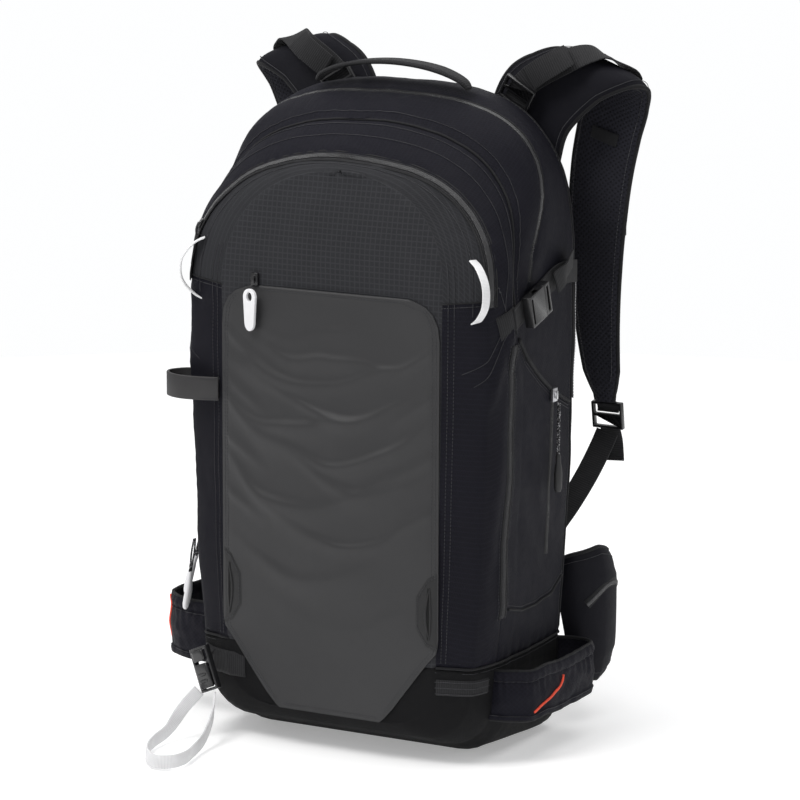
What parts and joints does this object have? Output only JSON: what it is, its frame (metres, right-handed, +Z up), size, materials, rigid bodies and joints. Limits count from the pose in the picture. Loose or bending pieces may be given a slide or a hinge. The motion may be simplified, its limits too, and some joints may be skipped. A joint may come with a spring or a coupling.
{
  "type": "avalanche airbag backpack",
  "caption": "Ski touring backpack with an airbag system, padded shoulder straps and hip belt, arched zips, a front pocket and ski carry loops.",
  "frame": {"origin": "centre of the flat base that the pack stands on", "axes": "+Z up, the front of the pack faces -Y, the harness is on the +Y side, the wearer's right is +X"},
  "size_m": [0.4067, 0.4276, 0.6078],
  "materials": {
    "outer_fabric": "woven nylon ripstop, nearly black navy, matt",
    "front_fabric": "woven nylon ripstop with a fine square grid, charcoal",
    "coated_fabric": "smooth coated fabric, dark grey, slight sheen",
    "zip_tape": "woven zip tape with coil teeth, black",
    "black_webbing": "ribbed nylon webbing, black",
    "white_webbing": "tight white webbing",
    "spacer_mesh": "spacer mesh and brushed lining over foam, black",
    "black_plastic": "moulded acetal, black, fine texture",
    "white_plastic": "moulded rubbery plastic, white",
    "soft_rubber": "rubber-coated fabric and rubber, black",
    "frame_sheet": "extruded sheet plastic with a riveted aluminium stay",
    "airbag_fabric": "thin coated airbag fabric, red-orange",
    "steel": "brushed steel cylinder",
    "cable_sheath": "smooth cable sheath, dark grey",
    "red_plastic": "moulded handle, red"
  },
  "bodies": {
    "pack": {"main_shell": "outer_fabric", "base_panel": "outer_fabric", "tool_pocket": "front_fabric", "front_panel": "coated_fabric", "tool_zipper": "zip_tape", "main_zipper": "zip_tape", "back_zipper": "zip_tape", "side_zipper_left": "zip_tape", "side_zipper_right": "zip_tape", "tool_loop_left": "white_webbing", "tool_loop_right": "white_webbing", "ski_loop_upper": "soft_rubber", "ski_loop_buckle": "black_plastic", "ski_sleeve_left": "outer_fabric", "ski_sleeve_right": "outer_fabric", "compression_strap_left": "black_webbing", "compression_strap_right": "black_webbing", "compression_socket_left": "black_plastic", "compression_socket_right": "black_plastic", "lumbar_pad": "spacer_mesh", "airbag_packed": "airbag_fabric"},
    "back_door": {"back_panel": "spacer_mesh", "back_pad": "spacer_mesh", "frame_sheet": "frame_sheet", "gas_cylinder": "steel", "inflator": "black_plastic", "trigger_cable": "cable_sheath", "shoulder_strap_left": "spacer_mesh", "shoulder_strap_right": "spacer_mesh", "load_lifter_left": "black_webbing", "load_lifter_right": "black_webbing", "lifter_buckle_left": "black_plastic", "lifter_buckle_right": "black_plastic", "strap_webbing_left": "black_webbing", "strap_webbing_right": "black_webbing", "ladder_lock_left": "black_plastic", "ladder_lock_right": "black_plastic"},
    "grab_handle": {"grab_handle": "black_webbing"},
    "hip_belt_left": {"hip_wing_left": "outer_fabric", "hip_webbing_left": "black_webbing", "hip_socket": "black_plastic"},
    "hip_belt_right": {"hip_wing_right": "outer_fabric", "hip_webbing_right": "black_webbing", "hip_plug": "black_plastic"},
    "compression_plug_left": {"compression_plug_left": "black_plastic"},
    "compression_plug_right": {"compression_plug_right": "black_plastic"},
    "sternum_strap": {"sternum_webbing_left": "black_webbing", "sternum_socket": "black_plastic"},
    "sternum_plug": {"sternum_webbing_right": "black_webbing", "sternum_plug": "black_plastic"},
    "trigger_handle": {"trigger_handle": "red_plastic"},
    "front_slider": {"front_slider": "black_plastic"},
    "front_pull": {"front_pull": "white_plastic"},
    "side_slider": {"side_slider_left": "black_plastic"},
    "side_pull_front": {"side_pull_left_front": "white_plastic"},
    "side_pull_rear": {"side_pull_left_rear": "white_plastic"},
    "pocket_slider": {"pocket_slider": "black_plastic"},
    "pocket_pull": {"pocket_cord": "cable_sheath", "pocket_grip": "soft_rubber"},
    "ski_loop": {"ski_loop_lower": "white_webbing"}
  },
  "joints": [
    {"name": "back_door_hinge", "type": "hinge", "parent": "pack", "child": "back_door", "pos_m": [0, 0.0875, 0.17], "axis": [-1, 0, 0], "range_deg": [0, 50]},
    {"name": "grab_handle_fold", "type": "hinge", "parent": "pack", "child": "grab_handle", "pos_m": [0, 0.022, 0.573], "axis": [1, 0, 0], "range_deg": [-30, 30], "stiffness_Nm_per_rad": 0.08},
    {"name": "hip_belt_left_swing", "type": "hinge", "parent": "pack", "child": "hip_belt_left", "pos_m": [-0.138, 0.104, 0.1], "axis": [0, 0, 1], "range_deg": [0, 35]},
    {"name": "hip_belt_right_swing", "type": "hinge", "parent": "pack", "child": "hip_belt_right", "pos_m": [0.138, 0.104, 0.1], "axis": [0, 0, -1], "range_deg": [0, 35]},
    {"name": "compression_plug_left_release", "type": "slide", "parent": "pack", "child": "compression_plug_left", "axis": [0, 0.9578, 0.2873], "range_m": [0, 0.022]},
    {"name": "compression_plug_right_release", "type": "slide", "parent": "pack", "child": "compression_plug_right", "axis": [0, 0.9578, 0.2873], "range_m": [0, 0.022]},
    {"name": "sternum_strap_height", "type": "slide", "parent": "back_door", "child": "sternum_strap", "axis": [0, 0, 1], "range_m": [-0.03, 0.03]},
    {"name": "sternum_plug_release", "type": "slide", "parent": "sternum_strap", "child": "sternum_plug", "axis": [1, 0, 0], "range_m": [0, 0.02]},
    {"name": "trigger_pull", "type": "slide", "parent": "back_door", "child": "trigger_handle", "axis": [0, 0, -1], "range_m": [0, 0.03]},
    {"name": "front_slider_travel", "type": "slide", "parent": "pack", "child": "front_slider", "axis": [1, 0, 0], "range_m": [0, 0.12]},
    {"name": "front_pull_swing", "type": "hinge", "parent": "front_slider", "child": "front_pull", "pos_m": [-0.074, -0.0935, 0.403], "axis": [-1, 0, 0], "range_deg": [0, 90]},
    {"name": "side_slider_travel", "type": "slide", "parent": "pack", "child": "side_slider", "axis": [-0.024, 0, 0.9997], "range_m": [0, 0.18]},
    {"name": "side_pull_front_swing", "type": "hinge", "parent": "side_slider", "child": "side_pull_front", "pos_m": [-0.1605, -0.052, 0.164], "axis": [0, 1, 0], "range_deg": [0, 60]},
    {"name": "side_pull_rear_swing", "type": "hinge", "parent": "side_slider", "child": "side_pull_rear", "pos_m": [-0.1605, -0.041, 0.164], "axis": [0, 1, 0], "range_deg": [0, 60]},
    {"name": "pocket_slider_travel", "type": "slide", "parent": "pack", "child": "pocket_slider", "axis": [0, 0, -1], "range_m": [0, 0.06]},
    {"name": "pocket_pull_swing", "type": "hinge", "parent": "pocket_slider", "child": "pocket_pull", "pos_m": [0.1588, 0.034, 0.305], "axis": [0, -1, 0], "range_deg": [0, 60]},
    {"name": "ski_loop_lift", "type": "hinge", "parent": "pack", "child": "ski_loop", "pos_m": [-0.119, -0.103, 0.049], "axis": [-1, 0, 0], "range_deg": [0, 50]}
  ]
}
